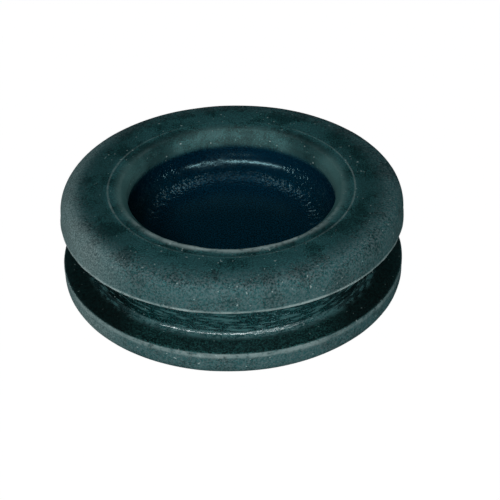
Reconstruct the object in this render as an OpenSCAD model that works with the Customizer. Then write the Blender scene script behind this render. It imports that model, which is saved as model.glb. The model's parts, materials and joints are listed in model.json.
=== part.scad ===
// Blind rubber grommet, moulded in one piece. Two domed flanges stand either side of a groove
// that takes a panel's edge, and a round recess in each face leaves a thin wall across the middle.
// The section is mirrored about the middle of the groove, so both faces are alike.
// Millimetres, +Z along the axis, origin on the axis at the bottom of the lower flange.

/* [Panel groove] */
// Diameter of the groove floor, which is the panel hole that the grommet fits
panel_hole_d = 26; // [23:0.5:27]
// Width of the groove, which is the thickest panel that it takes
groove_w = 4.2; // [3.4:0.1:6]
// Radius of the fillets between the groove floor and its two faces
groove_fillet_r = 0.5; // [0.2:0.1:0.8]

/* [Flanges] */
// Outer diameter of both flanges
flange_d = 31; // [29.5:0.5:36]
// Thickness of each flange, from the groove to the crown
flange_t = 2.9; // [2.6:0.1:4]
// Radius of the rounded outer shoulder
shoulder_r = 1.5; // [0.8:0.1:1.6]
// Rise of the domed face from the shoulder to the crown
dome_h = 0.2; // [0.1:0.02:0.5]
// Radius of the edge between a flange's rim and the groove
edge_r = 0.2; // [0.1:0.05:0.4]

/* [Crown] */
// Diameter of the witness ring where the crown meets the mouth of the recess
ring_d = 22.3; // [22:0.1:23]
// Width of the flat crown outside the ring, on which the grommet rests
crown_w = 0.8; // [0.4:0.1:1.2]
// Fall of the face from the ring to the lip of the recess
mouth_drop = 0.08; // [0.04:0.02:0.2]

/* [Recess] */
// Diameter of the recess in each face
recess_d = 18.8; // [15:0.2:19.6]
// Radius of the lip round the mouth of the recess
lip_r = 0.8; // [0.4:0.1:1]
// Radius of the fillet between the recess wall and its floor
recess_fillet_r = 2; // [0.5:0.1:2.1]
// Thickness of the closing wall between the two recesses
membrane_t = 1.2; // [0.6:0.1:2]

/* [Hidden] */
$fn = 144;
// How far a cut runs past the face that it opens
over = 1;

// Radii, and heights above the middle of the groove
flange_r = flange_d / 2;
groove_r = panel_hole_d / 2;
recess_r = recess_d / 2;
ring_r = ring_d / 2;
crown_r = ring_r + crown_w;
groove_z = groove_w / 2;
crown_z = groove_z + flange_t;
floor_z = membrane_t / 2;

// The shoulder arc stands on the rim's straight land, and the dome arc touches it from inside
shoulder_x = flange_r - shoulder_r;
shoulder_z = crown_z - dome_h - shoulder_r;
dome_run = shoulder_x - crown_r;
dome_r = (pow(dome_run, 2) + pow(dome_h + shoulder_r, 2) - pow(shoulder_r, 2)) / (2 * dome_h);
dome_z = crown_z - dome_r;
dome_slope = dome_run / (shoulder_z - dome_z);

// The lip arc is level where the face that falls from the ring ends
lip_x = recess_r + lip_r;
lip_z = crown_z - mouth_drop - lip_r;

// Rim of one flange: straight land, with a small edge radius towards the groove
module rim_section() {
    translate([0, groove_z]) square([flange_r - edge_r, shoulder_z - groove_z]);
    translate([0, groove_z + edge_r]) square([flange_r, shoulder_z - groove_z - edge_r]);
    translate([flange_r - edge_r, groove_z + edge_r]) circle(r = edge_r);
}

// Domed face of one flange: flat crown, shallow dome and round shoulder
module dome_section() {
    translate([0, groove_z]) square([crown_r, flange_t]);
    translate([shoulder_x, shoulder_z]) circle(r = shoulder_r);
    intersection() {
        translate([crown_r, dome_z]) circle(r = dome_r, $fn = 720);
        polygon([
            [crown_r, groove_z],
            [crown_r + dome_slope * (groove_z - dome_z), groove_z],
            [crown_r + dome_slope * (crown_z + over - dome_z), crown_z + over],
            [crown_r, crown_z + over]
        ]);
    }
}

// Material left in the groove's corner by its fillet
module groove_fillet_section() {
    difference() {
        translate([groove_r - groove_fillet_r, groove_z - groove_fillet_r])
            square(2 * groove_fillet_r);
        translate([groove_r + groove_fillet_r, groove_z - groove_fillet_r])
            circle(r = groove_fillet_r);
    }
}

// Recess of one face: straight wall, with a fillet down to a flat floor
module recess_section() {
    depth = crown_z + over - floor_z;
    translate([0, floor_z]) square([recess_r - recess_fillet_r, depth]);
    translate([0, floor_z + recess_fillet_r]) square([recess_r, depth - recess_fillet_r]);
    translate([recess_r - recess_fillet_r, floor_z + recess_fillet_r]) circle(r = recess_fillet_r);
}

// Mouth of the recess: the face falls from the ring to a rounded lip
module mouth_section() {
    difference() {
        polygon([
            [recess_r - over, lip_z],
            [recess_r - over, crown_z + over],
            [ring_r, crown_z + over],
            [ring_r, crown_z],
            [lip_x, crown_z - mouth_drop],
            [lip_x, lip_z]
        ]);
        translate([lip_x, lip_z]) circle(r = lip_r);
    }
}

// The same on both faces, mirrored about the middle of the groove
module both_faces() {
    children();
    mirror([0, 1]) children();
}

// Whole section on one side of the axis
module section() {
    web_h = 2 * (groove_z + edge_r);
    difference() {
        union() {
            translate([0, -web_h / 2]) square([groove_r, web_h]);
            both_faces() {
                groove_fillet_section();
                rim_section();
                dome_section();
            }
        }
        both_faces() {
            recess_section();
            mouth_section();
        }
    }
}

// The moulding, revolved from its section and stood on its lower crown
module grommet() {
    color("#26393b")
        translate([0, 0, crown_z])
            rotate_extrude()
                section();
}

grommet();
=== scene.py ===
# Blind rubber grommet: the moulding with its witness lines and mould finishes, on a pale studio floor.
# Everything is in metres in the part's own frame: origin on the axis at the bottom, +Z up the axis.
import json
import math

import bmesh
import bpy
from mathutils import Euler, Matrix, Vector, noise


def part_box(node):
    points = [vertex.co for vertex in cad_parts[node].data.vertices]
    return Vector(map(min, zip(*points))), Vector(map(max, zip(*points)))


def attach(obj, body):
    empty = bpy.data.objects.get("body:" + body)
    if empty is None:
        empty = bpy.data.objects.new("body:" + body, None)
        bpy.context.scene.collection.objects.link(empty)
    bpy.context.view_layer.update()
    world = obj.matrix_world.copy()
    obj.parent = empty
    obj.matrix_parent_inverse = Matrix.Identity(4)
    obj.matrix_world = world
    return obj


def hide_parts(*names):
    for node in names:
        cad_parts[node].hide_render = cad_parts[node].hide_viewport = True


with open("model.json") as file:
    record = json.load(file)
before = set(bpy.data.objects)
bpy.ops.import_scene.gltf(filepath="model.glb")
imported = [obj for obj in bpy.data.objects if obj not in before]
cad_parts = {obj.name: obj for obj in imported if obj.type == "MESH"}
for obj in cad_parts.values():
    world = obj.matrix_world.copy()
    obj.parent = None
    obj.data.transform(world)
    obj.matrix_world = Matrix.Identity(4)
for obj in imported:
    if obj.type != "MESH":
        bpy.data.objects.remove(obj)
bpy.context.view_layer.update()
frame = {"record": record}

MM = 0.001

# Sizes of the section, with heights above the middle of the groove. The frame gives the outer ones and the
# recess, and the others are those of the part's source.
low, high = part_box("grommet")
FLANGE_R = high.x
CROWN_Z = (high.z - low.z) / 2
MIDDLE = (high.z + low.z) / 2
MOUNTS = {m["name"]: m for m in frame["record"]["mounts"]}
RECESS_R = MOUNTS["upper_recess"]["dims"]["r_mm"] * MM
GROOVE_R = 13.0 * MM
GROOVE_Z = 2.1 * MM
GROOVE_FILLET_R = 0.5 * MM
EDGE_R = 0.2 * MM
SHOULDER_R = 1.5 * MM
DOME_H = 0.2 * MM
CROWN_R = 11.95 * MM
RING_R = 11.15 * MM
MOUTH_DROP = 0.08 * MM
LIP_R = 0.8 * MM
RECESS_FILLET_R = 2.0 * MM
FLOOR_Z = 0.6 * MM
FLOOR_R = RECESS_R - RECESS_FILLET_R
LIP_X = RECESS_R + LIP_R
LIP_Z = CROWN_Z - MOUTH_DROP - LIP_R

# Fine raised lines that the mould leaves where its parts meet: height, half of the width, and strength at
# the front, at the back and at the sides. The upper flange's rim has a line, and the lower one's a band. The
# strength also sets how much lighter a line is painted: partly the flash's own wear, partly painted
# highlight, as on the lip's line at the front and on the lower flange's band.
RING_LINE = (0.06 * MM, 0.15 * MM, 0.2, 0.1, 0.45)
LIP_LINE = (0.15 * MM, 0.44 * MM, 1.1, 0.1, 0.2)
RIM_LINE = (0.09 * MM, 0.20 * MM, 0.72, 0.65, 0.85)
RIM_BAND = (0.08 * MM, 0.42 * MM, 0.5, 0.4, 0.4)
# Where the lip line lies on the lip, in degrees from the recess wall
LIP_LINE_DEG = 88
# How far from the groove's face the rim's line and its band lie
RIM_LINE_RISE = 0.8 * EDGE_R
RIM_BAND_RISE = 0.3 * MM

# How a line wavers: share and length for its width, then mean, least value, and share, length and seed of
# each waver for its height. The swell makes a line's top flat.
WIDTH_WAVER = (0.3, 2.5 * MM)
HEIGHT_MEAN = 0.85
HEIGHT_LEAST = 0.15
HEIGHT_WAVERS = ((0.4, 1.6 * MM, 7), (0.2, 0.6 * MM, 13))
LINE_SWELL = 0.8
# Slight unevenness of the faces: height and length of each wave
SOFT_WAVES = ((0.012 * MM, 2.2 * MM), (0.03 * MM, 7 * MM))
# Where the faces come this near the crown's height, their unevenness may only sink
CROWN_MARGIN = 0.02 * MM
# Seeds of the noise on each face, and what a line's width adds to them
UPPER_SEED = 3.0
LOWER_SEED = 40.0
SEED_PER_METRE = 1000

# Steps of the turn about the axis, and how near points are joined on the mirror's plane and after the turn
TURN_STEPS = 440
MIRROR_MERGE = 0.001 * MM
TURN_MERGE = 0.002 * MM

# Heights of the crinkles and of the grit in the rubber's surface
CRINKLE_H = 0.20 * MM
GRIT_H = 0.03 * MM
# Level direction to the left and the front, along which shade is painted into the recess; light is painted at
# its other end
LEFTWARD = (-0.9, -0.44, 0)

# Floor: radius of the board, strength of its white, and the share of it that the camera sees
BOARD_R = 1.5
WHITE_STRENGTH = 1.03
WHITE_SHARE = 0.97

# Camera: sensor and lens in millimetres, aim, distance, angle above the floor, and roll
SENSOR_MM = 36
LENS_MM = 152.65
CAMERA_AIM = (1.557 * MM, 0, MIDDLE - 2.069 * MM)
CAMERA_DISTANCE = 0.195
CAMERA_ABOVE_DEG = 34.87
CAMERA_ROLL_DEG = -1.2


def hex_linear(code):
    """sRGB hex colour as linear RGBA."""
    def channel(pair):
        c = int(pair, 16) / 255
        return c / 12.92 if c <= 0.04045 else ((c + 0.055) / 1.055) ** 2.4
    return tuple(channel(code[i:i + 2]) for i in (1, 3, 5)) + (1.0,)


# The section is drawn as a pen draws it: a point is carried along straight lines and round arcs
class Pen:
    def __init__(self, bm, r, z):
        self.bm = bm
        self.tip = bm.verts.new((r, 0, z))

    def line(self, r, z, steps=1):
        """Straight stretch to (r, z)."""
        step = (Vector((r, 0, z)) - self.tip.co) / steps
        for _ in range(steps):
            made = bmesh.ops.extrude_vert_indiv(self.bm, verts=[self.tip])
            self.tip = made["verts"][0]
            self.tip.co += step

    def arc(self, r, z, degrees, steps):
        """Round stretch about (r, z). Positive degrees turn from +Z towards +R."""
        made = bmesh.ops.spin(
            self.bm, geom=[self.tip], cent=(r, 0, z), axis=(0, 1, 0),
            angle=math.radians(degrees), steps=steps, use_duplicate=False)
        self.tip = next(v for v in made["geom_last"] if isinstance(v, bmesh.types.BMVert))


def draw_upper_outline(bm):
    """Outline of the upper half, from the middle of the groove floor out over the crown to the axis. It
    takes more steps where a raised line will lie."""
    shoulder_x, shoulder_z = FLANGE_R - SHOULDER_R, CROWN_Z - DOME_H - SHOULDER_R
    run = shoulder_x - CROWN_R
    dome_r = (run ** 2 + (DOME_H + SHOULDER_R) ** 2 - SHOULDER_R ** 2) / (2 * DOME_H)
    dome_z = CROWN_Z - dome_r
    dome_deg = math.degrees(math.atan2(run, shoulder_z - dome_z))
    rim_w, ring_w = RIM_LINE[1], RING_LINE[1]
    pen = Pen(bm, GROOVE_R, 0)
    pen.line(GROOVE_R, GROOVE_Z - GROOVE_FILLET_R, steps=3)
    pen.arc(GROOVE_R + GROOVE_FILLET_R, GROOVE_Z - GROOVE_FILLET_R, 90, steps=6)
    pen.line(FLANGE_R - EDGE_R - rim_w, GROOVE_Z, steps=4)
    pen.line(FLANGE_R - EDGE_R, GROOVE_Z, steps=3)
    pen.arc(FLANGE_R - EDGE_R, GROOVE_Z + EDGE_R, -90, steps=6)
    pen.line(FLANGE_R, GROOVE_Z + EDGE_R + rim_w, steps=3)
    pen.line(FLANGE_R, shoulder_z, steps=4)
    pen.arc(shoulder_x, shoulder_z, dome_deg - 90, steps=12)
    pen.arc(CROWN_R, dome_z, -dome_deg, steps=6)
    pen.line(RING_R + ring_w, CROWN_Z, steps=2)
    pen.line(RING_R, CROWN_Z, steps=4)
    fall = MOUTH_DROP / (RING_R - LIP_X)
    pen.line(RING_R - ring_w, CROWN_Z - fall * ring_w, steps=4)
    pen.line(LIP_X, CROWN_Z - MOUTH_DROP, steps=3)
    pen.arc(LIP_X, LIP_Z, -90, steps=24)
    pen.line(RECESS_R, FLOOR_Z + RECESS_FILLET_R, steps=5)
    pen.arc(FLOOR_R, FLOOR_Z + RECESS_FILLET_R, 90, steps=12)
    pen.line(0, FLOOR_Z, steps=8)


def wander(point, scale, seed):
    """Smooth noise from -1 to 1 along the surface, with features about scale across."""
    return noise.noise(point / scale + Vector((seed, 0, 0)))


def line_share(section, centre, half_w, point, seed):
    """How far up a raised line a point of the section lies, from 0 beside it to about 1 on its uneven top."""
    share, length = WIDTH_WAVER
    half_w *= 1 + share * wander(point, length, seed)
    reach = (section - centre).length / half_w
    if reach >= 1:
        return 0.0
    height = HEIGHT_MEAN
    for share, length, step in HEIGHT_WAVERS:
        height += share * wander(point, length, seed + step)
    return max(height, HEIGHT_LEAST) * min(1, LINE_SWELL * (1 + math.cos(math.pi * reach)))


def turn_section():
    """The outline mirrored about the middle of the groove, and turned about the axis."""
    bm = bmesh.new()
    draw_upper_outline(bm)
    bmesh.ops.mirror(bm, geom=bm.verts[:] + bm.edges[:], axis="Z", merge_dist=MIRROR_MERGE)
    bmesh.ops.spin(
        bm, geom=bm.verts[:] + bm.edges[:], cent=(0, 0, 0), axis=(0, 0, 1),
        angle=math.tau, steps=TURN_STEPS, use_merge=True)
    bmesh.ops.remove_doubles(bm, verts=bm.verts, dist=TURN_MERGE)
    bmesh.ops.recalc_face_normals(bm, faces=bm.faces)
    bm.normal_update()
    return bm


def raise_mould_lines(bm):
    """Raises the mould's lines on the moulding, and makes its faces slightly uneven."""
    lip_turn = math.radians(LIP_LINE_DEG)
    lip_line = Vector((LIP_X - LIP_R * math.cos(lip_turn), LIP_Z + LIP_R * math.sin(lip_turn)))
    both = ((Vector((RING_R, CROWN_Z)), *RING_LINE), (lip_line, *LIP_LINE))
    upper = (*both, (Vector((FLANGE_R, GROOVE_Z + RIM_LINE_RISE)), *RIM_LINE))
    lower = (*both, (Vector((FLANGE_R, GROOVE_Z + RIM_BAND_RISE)), *RIM_BAND))
    on_line = bm.verts.layers.float.new("mould_line")
    moves = []
    for v in bm.verts:
        lines, seed = (upper, UPPER_SEED) if v.co.z > 0 else (lower, LOWER_SEED)
        section = Vector((math.hypot(v.co.x, v.co.y), abs(v.co.z)))
        # Runs from -1 at the front to 1 at the back
        way = v.co.y / max(section.x, MM)
        rise = 0.0
        for centre, height, half_w, front, back, beside in lines:
            share = line_share(section, centre, half_w, v.co, seed + SEED_PER_METRE * half_w)
            share *= beside + ((back if way > 0 else front) - beside) * way ** 2
            v[on_line] += share
            rise += height * share
        soft = sum(height * wander(v.co, length, seed) for height, length in SOFT_WAVES)
        if section.y > CROWN_Z - CROWN_MARGIN:
            soft = min(soft, 0)
        moves.append((v, v.normal * (rise + soft)))
    for v, move in moves:
        v.co += move
        # The lower face stands on its crown, so nothing of it may reach below that
        v.co.z = max(v.co.z, -CROWN_Z)


def link_mesh(name, bm):
    """Makes an object of a finished bmesh, and frees it."""
    mesh = bpy.data.meshes.new(name)
    bm.to_mesh(mesh)
    bm.free()
    piece = bpy.data.objects.new(name, mesh)
    bpy.context.scene.collection.objects.link(piece)
    return piece


def build_moulding():
    """The moulding, turned from its section with the mould's lines raised on it."""
    bm = turn_section()
    raise_mould_lines(bm)
    for face in bm.faces:
        face.smooth = True
    bmesh.ops.translate(bm, verts=bm.verts, vec=(0, 0, MIDDLE))
    return link_mesh("moulding", bm)


def add(tree, kind, inputs=(), **settings):
    """Adds a node. An input's value is a number, a colour, or the output socket that feeds it. In a Mix node
    input 0 is the share, 2 and 3 are the numbers that it mixes, and 6 and 7 the colours."""
    node = tree.nodes.new(kind)
    for name, value in settings.items():
        setattr(node, name, value)
    for name, value in dict(inputs).items():
        if isinstance(value, bpy.types.NodeSocket):
            tree.links.new(value, node.inputs[name])
        else:
            node.inputs[name].default_value = value
    return node


def new_material(name):
    material = bpy.data.materials.new(name)
    material.use_nodes = True
    material.node_tree.nodes.clear()
    return material, material.node_tree


def moulded_rubber():
    """EPDM rubber from a steel mould. The flanges came off an eroded face, so they are matt, with a fine
    grain and a grey bloom on the shoulders, which is partly real and partly painted sheen along the rims. The
    recess and the groove came off polished inserts, so they are darker, a little bluer and shinier, with
    crinkles that break their highlights into flecks. Some tints are painted light and shade: light along the
    left rim, on the mouth's ends and back, on the raised lines, in the groove's lower corner and at the
    recess's right back; shade at the ends of the dome and of the groove, behind the lip at its back quarters,
    and in the recess towards its wall and its left front."""
    material, tree = new_material("moulded_epdm_rubber")
    place = add(tree, "ShaderNodeTexCoord").outputs["Object"]
    apart = add(tree, "ShaderNodeSeparateXYZ", {"Vector": place}).outputs
    flat = add(tree, "ShaderNodeVectorMath", {0: place, 1: (1, 1, 0)}, operation="MULTIPLY")
    radius = add(tree, "ShaderNodeVectorMath", {0: flat.outputs[0]}, operation="LENGTH").outputs["Value"]
    above = add(tree, "ShaderNodeMath", {0: apart["Z"], 1: MIDDLE}, operation="SUBTRACT").outputs[0]
    level = add(tree, "ShaderNodeMath", {0: above}, operation="ABSOLUTE").outputs[0]
    aside = add(tree, "ShaderNodeMath", {0: apart["X"]}, operation="ABSOLUTE").outputs[0]
    leftward = add(tree, "ShaderNodeVectorMath", {0: place, 1: LEFTWARD}, operation="DOT_PRODUCT")
    left = leftward.outputs["Value"]
    drawn_out = add(tree, "ShaderNodeVectorMath", {0: place, 1: (1, 1, 6)}, operation="MULTIPLY").outputs[0]
    line = add(tree, "ShaderNodeAttribute", attribute_name="mould_line").outputs["Fac"]

    # Size in millimetres and detail of each pattern. The eroded face's grit is near 0.03 mm, too fine
    # to show, so it is drawn at 0.13 mm. The streaks run round the groove, six times longer than high.
    patterns = {
        "grit": (0.13, 1), "dust": (0.2, 2), "speck": (0.26, 0), "crinkle": (0.45, 2),
        "patch": (0.5, 2), "cloud": (2.6, 3), "streak": (1.4, 3)}
    noises = {}
    for name, (size, detail) in patterns.items():
        noises[name] = add(tree, "ShaderNodeTexNoise", {
            "Vector": drawn_out if name == "streak" else place, "Scale": 1 / (size * MM),
            "Detail": detail, "Roughness": 0.6}).outputs["Fac"]

    # Shares that run from 0 at one value to their top at another: first by place, then by pattern
    shares = {
        "below_mouth": (radius, RECESS_R + 0.5 * MM, RECESS_R + 0.1 * MM, 1),
        "down_wall": (level, LIP_Z - 0.3 * MM, LIP_Z - 1.1 * MM, 1),
        "off_floor": (radius, FLOOR_R - 0.8 * MM, FLOOR_R + 0.2 * MM, 1),
        "off_wall": (radius, RECESS_R - 0.5 * MM, RECESS_R - 0.9 * MM, 1),
        "on_wall": (radius, RECESS_R - 0.8 * MM, RECESS_R - 0.4 * MM, 1),
        # Share of painted shade towards the recess wall
        "wall_painted_shade": (radius, RECESS_R - 1.8 * MM, RECESS_R - 0.4 * MM, 0.75),
        "in_ring": (radius, RING_R - 0.15 * MM, LIP_X - 0.45 * MM, 1),
        "up_wall": (level, LIP_Z - 1.1 * MM, LIP_Z - 0.3 * MM, 1),
        "on_shoulder": (radius, CROWN_R + 0.6 * MM, FLANGE_R - 0.7 * MM, 1),
        "past_ring": (radius, RING_R, RING_R + 0.6 * MM, 1),
        "off_rim": (radius, FLANGE_R - 0.9 * MM, FLANGE_R - 2.2 * MM, 0.42),
        "past_web": (radius, CROWN_R - 0.9 * MM, CROWN_R - 0.7 * MM, 1),
        "between_faces": (level, GROOVE_Z + 0.1 * MM, GROOVE_Z, 1),
        "in_corner": (level, GROOVE_Z - 0.50 * MM, GROOVE_Z - 0.36 * MM, 0.8),
        "outward": (radius, GROOVE_R + 0.3 * MM, GROOVE_R + 0.8 * MM, 1),
        "back": (apart["Y"], -8.5 * MM, -3.0 * MM, 0.42),
        "far_back": (apart["Y"], 7.2 * MM, 10.2 * MM, 0.2),
        "behind": (apart["Y"], 4.0 * MM, 6.0 * MM, 0.6),
        "rim": (radius, FLANGE_R - 2.0 * MM, FLANGE_R - 0.6 * MM, 1),
        "rim_wall": (radius, FLANGE_R - 0.6 * MM, FLANGE_R - 0.1 * MM, 0.3),
        "far_left": (apart["X"], -8.0 * MM, -14.0 * MM, 0.35),
        "sides": (aside, 4.6 * MM, 6.0 * MM, 1),
        "in_lip": (radius, LIP_X + 0.9 * MM, LIP_X + 0.2 * MM, 1),
        "centre": (aside, 4.0 * MM, 1.5 * MM, 1),
        "ends": (aside, 7.0 * MM, 10.5 * MM, 0.85),
        "right": (apart["X"], 0.5 * MM, 2.5 * MM, 1),
        # Shares of painted shade at the recess's left front and painted light at its right back
        "left_front_painted_shade": (left, 2.5 * MM, 7.5 * MM, 0.75),
        "right_back_painted_light": (left, -3.0 * MM, -8.0 * MM, 0.1),
        "line": (line, 0, 1, 0.85),
        "grit": (noises["grit"], 0.42, 0.64, 1),
        "patch": (noises["patch"], 0.38, 0.64, 0.5),
        "cloud": (noises["cloud"], 0.42, 0.60, 0.45),
        "gloom": (noises["cloud"], 0.50, 0.36, 0.6),
        "haze": (noises["cloud"], 0.15, 0.80, 1),
        "smear": (noises["cloud"], 0.46, 0.58, 1),
        "dusting": (noises["dust"], 0.32, 0.72, 0.52),
        "streak": (noises["streak"], 0.50, 0.64, 0.75),
        "wear": (noises["patch"], 0.20, 0.52, 1),
        "speck": (noises["speck"], 0.80, 0.84, 0.55),
    }
    share = {}
    for name, (value, start, end, top) in shares.items():
        share[name] = add(tree, "ShaderNodeMapRange", {
            "Value": value, "From Min": start, "From Max": end, "To Max": top},
            interpolation_type="SMOOTHSTEP").outputs[0]
    products = {
        "recess": ("below_mouth", "down_wall"),
        "recess_wall": ("recess", "on_wall"),
        "smeared_wall": ("recess_wall", "smear"),
        "foot": ("recess", "off_floor"),
        "foot_sides": ("foot", "sides"),
        "fillet": ("foot", "off_wall"),
        "fillet_centre": ("fillet", "centre"),
        "recess_shade": ("recess", "left_front_painted_shade"),
        "mouth": ("in_ring", "up_wall"),
        "mouth_back": ("mouth", "back"),
        # Painted light on the mouth at its back, its far back and its left and right ends
        "mouth_back_painted_light": ("mouth_back", "haze"),
        "mouth_far_back_painted_light": ("mouth", "far_back"),
        "mouth_ends_painted_light": ("mouth", "ends"),
        "quarters": ("behind", "sides"),
        "lip_quarters": ("quarters", "in_lip"),
        "lip_shade": ("lip_quarters", "up_wall"),
        # The shoulders' grey bloom is partly real and partly painted sheen along the rims
        "bloom_and_sheen": ("on_shoulder", "dusting"),
        # Painted light along the left rim, with paler grit in it
        "left_rim_painted_light": ("rim", "far_left"),
        "left_rim_painted_light_grit": ("left_rim_painted_light", "grit"),
        "dome": ("past_ring", "off_rim"),
        # Painted shade: the dome is darker at its left and right ends
        "dome_ends_painted_shade": ("dome", "ends"),
        # Mask of the raised lines' lighter tint: partly wear of the flash, partly painted highlight
        "line_wear_and_painted_highlight": ("line", "wear"),
        "groove": ("past_web", "between_faces"),
        "groove_right": ("groove", "right"),
        # Painted shade at the groove's left and right ends
        "groove_ends_painted_shade": ("groove", "ends"),
        # Mask of the groove's lower corner, whose lighter tint is painted highlight below its shine
        "groove_corner": ("groove", "in_corner"),
        "groove_face": ("groove", "outward"),
    }
    for name, (first, second) in products.items():
        share[name] = add(tree, "ShaderNodeMath", {
            0: share[first], 1: share[second]}, operation="MULTIPLY").outputs[0]

    # Each coat is a ground colour and the tints laid over it, in order
    coats = {
        "flange": ("#021011", (
            ("grit", "#346e6f"), ("patch", "#235254"), ("cloud", "#3a6669"), ("gloom", "#07282a"),
            # Painted shade at the dome's left and right ends; the shoulders' grey bloom, partly painted sheen
            ("dome_ends_painted_shade", "#051c1b"), ("bloom_and_sheen", "#7d8d8f"), ("rim_wall", "#26413f"),
            # Painted light along the left rim, with paler grit in it, and at the mouth's left and right ends
            ("left_rim_painted_light", "#859b9a"), ("left_rim_painted_light_grit", "#bccac8"), ("mouth_ends_painted_light", "#4a706e"),
            # Painted light on the mouth's back and far back
            ("mouth_back_painted_light", "#577573"), ("mouth_far_back_painted_light", "#6a8280"), ("lip_shade", "#0a2426"),
            # The raised lines' lighter tint is partly wear of the flash and partly painted highlight
            ("speck", "#b4c4c2"), ("line_wear_and_painted_highlight", "#aebdbb"))),
        "recess": ("#021f2f", (
            # Painted shade towards the recess wall and at its left front, painted light at its right back
            ("grit", "#064660"), ("wall_painted_shade", "#010f1a"), ("right_back_painted_light", "#0a4560"),
            ("left_front_painted_shade", "#00060a"))),
        "groove": ("#031112", (
            # The lower corner's lighter tint is painted highlight, a soft band below the corner's shine
            ("groove_corner", "#5a7c7e"), ("grit", "#1a4a4b"), ("patch", "#0c2527"),
            # Painted shade darkens the groove's left and right ends
            ("groove_ends_painted_shade", "#060505"), ("streak", "#436a6b"), ("speck", "#9ab0ae"))),
        "groove_face": ("#020b0c", (
            # Painted shade darkens the groove face's left and right ends
            ("grit", "#376e6c"), ("groove_ends_painted_shade", "#0a0808"), ("dusting", "#12302f"),
            ("speck", "#9ab0ae"))),
    }
    colour = {}
    for name, (ground, tints) in coats.items():
        colour[name] = hex_linear(ground)
        for where, tint in tints:
            colour[name] = add(tree, "ShaderNodeMix", {
                0: share[where], 6: colour[name], 7: hex_linear(tint)}, data_type="RGBA").outputs[2]

    # Each finish is a roughness, the strengths of crinkles and of grit, and a specular level. One that
    # shares its name with a coat brings that coat's colour too.
    skin, finish = colour["flange"], (0.66, 0.1, 0.8, 0.35)
    finishes = {
        "groove": (0.17, 0.2, 0.05, 1), "groove_corner": (0.14, 0.12, 0.08, 1),
        "groove_right": (0.22, 0.6, 0.15, 1), "groove_face": (0.4, 0.5, 0.5, 0.5),
        "recess": (0.2, 0.1, 0.05, 0.54), "smeared_wall": (0.32, 0.4, 0.1, 0.4),
        "foot_sides": (0.14, 1, 0.1, 1), "fillet": (0.14, 1, 0.1, 1),
        "fillet_centre": (0.28, 1, 0.1, 0.35), "recess_shade": (0.3, 0.5, 0.1, 0)}
    for name, values in finishes.items():
        if name in colour:
            skin = add(tree, "ShaderNodeMix", {
                0: share[name], 6: skin, 7: colour[name]}, data_type="RGBA").outputs[2]
        finish = [
            add(tree, "ShaderNodeMix", {0: share[name], 2: before, 3: after}).outputs[0]
            for before, after in zip(finish, values)]

    relief = add(tree, "ShaderNodeMix", {
        0: share["groove"], 2: noises["crinkle"], 3: noises["streak"]}).outputs[0]
    crinkles = add(tree, "ShaderNodeBump", {
        "Height": relief, "Distance": CRINKLE_H, "Strength": finish[1]}).outputs[0]
    grits = add(tree, "ShaderNodeBump", {
        "Height": noises["grit"], "Distance": GRIT_H, "Strength": finish[2],
        "Normal": crinkles}).outputs[0]
    glint = add(tree, "ShaderNodeMix", {
        0: share["groove_corner"], 6: hex_linear("#a8dfe8"), 7: hex_linear("#ffffff")}, data_type="RGBA")
    shader = add(tree, "ShaderNodeBsdfPrincipled", {
        "Base Color": skin, "Roughness": finish[0], "IOR": 1.5, "Specular IOR Level": finish[3],
        "Specular Tint": glint.outputs[2], "Normal": grits})
    add(tree, "ShaderNodeOutputMaterial", {"Surface": shader.outputs[0]})
    return material


def pale_floor():
    """Matt board that lights the part with a dim grey, and that the camera sees as plain white."""
    material, tree = new_material("white_board")
    board = add(tree, "ShaderNodeBsdfDiffuse", {"Color": hex_linear("#9fb4b6")})
    white = add(tree, "ShaderNodeEmission", {"Color": (1, 1, 1, 1), "Strength": WHITE_STRENGTH})
    seen = add(tree, "ShaderNodeLightPath").outputs["Is Camera Ray"]
    share = add(tree, "ShaderNodeMath", {0: seen, 1: WHITE_SHARE}, operation="MULTIPLY")
    lit = add(tree, "ShaderNodeMixShader", {0: share.outputs[0], 1: board.outputs[0], 2: white.outputs[0]})
    add(tree, "ShaderNodeOutputMaterial", {"Surface": lit.outputs[0]})
    return material


def build_floor():
    bm = bmesh.new()
    bmesh.ops.create_circle(bm, cap_ends=True, segments=96, radius=BOARD_R)
    floor = link_mesh("floor", bm)
    floor.data.materials.append(pale_floor())
    return floor


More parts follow.
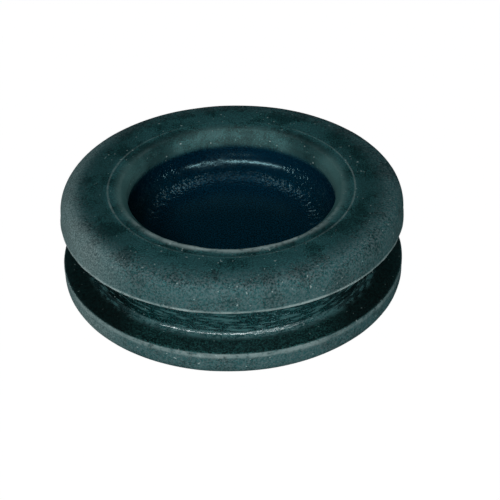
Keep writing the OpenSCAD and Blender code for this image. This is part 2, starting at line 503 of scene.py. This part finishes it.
def area_light(name, azimuth, elevation, distance, size, watts):
    """Softbox aimed at the part. Azimuth 0 is on the camera's side, and positive is to its right."""
    lamp = bpy.data.lights.new(name, "AREA")
    lamp.shape = "RECTANGLE"
    lamp.size, lamp.size_y = size
    lamp.energy = watts
    obj = bpy.data.objects.new(name, lamp)
    turn = Euler((math.radians(90 - elevation), 0, math.radians(azimuth))).to_matrix().to_4x4()
    aim = Matrix.Translation((0, 0, MIDDLE))
    obj.matrix_world = aim @ turn @ Matrix.Translation((0, 0, distance))
    bpy.context.scene.collection.objects.link(obj)


def build_studio():
    """Long low key light in front, a softbox overhead, and surroundings that light the part a dim
    teal, as the photograph's shadows are, and look white to the camera."""
    area_light("key_softbox", azimuth=-5, elevation=18, distance=0.40, size=(0.95, 0.035), watts=2.1)
    area_light("top_softbox", azimuth=180, elevation=76, distance=0.50, size=(0.30, 0.13), watts=0.30)
    world = bpy.data.worlds.new("studio")
    bpy.context.scene.world = world
    world.use_nodes = True
    tree = world.node_tree
    tree.nodes.clear()
    dim = add(tree, "ShaderNodeBackground", {"Color": hex_linear("#3fd4e6"), "Strength": 0.06})
    pale = add(tree, "ShaderNodeBackground", {"Color": (1, 1, 1, 1), "Strength": 1.0})
    seen = add(tree, "ShaderNodeLightPath").outputs["Is Camera Ray"]
    mix = add(tree, "ShaderNodeMixShader", {0: seen, 1: dim.outputs[0], 2: pale.outputs[0]})
    add(tree, "ShaderNodeOutputWorld", {"Surface": mix.outputs[0]})


def build_camera():
    """Camera where the photograph's was, found from the part's outlines."""
    data = bpy.data.cameras.new("camera")
    data.sensor_width = SENSOR_MM
    data.lens = LENS_MM
    camera = bpy.data.objects.new("camera", data)
    target = Matrix.Translation(CAMERA_AIM)
    turn = Matrix.Rotation(math.radians(90 - CAMERA_ABOVE_DEG), 4, "X")
    roll = Matrix.Rotation(math.radians(CAMERA_ROLL_DEG), 4, "Z")
    camera.matrix_world = target @ turn @ Matrix.Translation((0, 0, CAMERA_DISTANCE)) @ roll
    bpy.context.scene.collection.objects.link(camera)
    bpy.context.scene.camera = camera


moulding = build_moulding()
moulding.data.materials.append(moulded_rubber())
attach(moulding, "root")
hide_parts("grommet")

build_floor()
build_studio()
build_camera()
bpy.context.scene.view_settings.view_transform = "Standard"
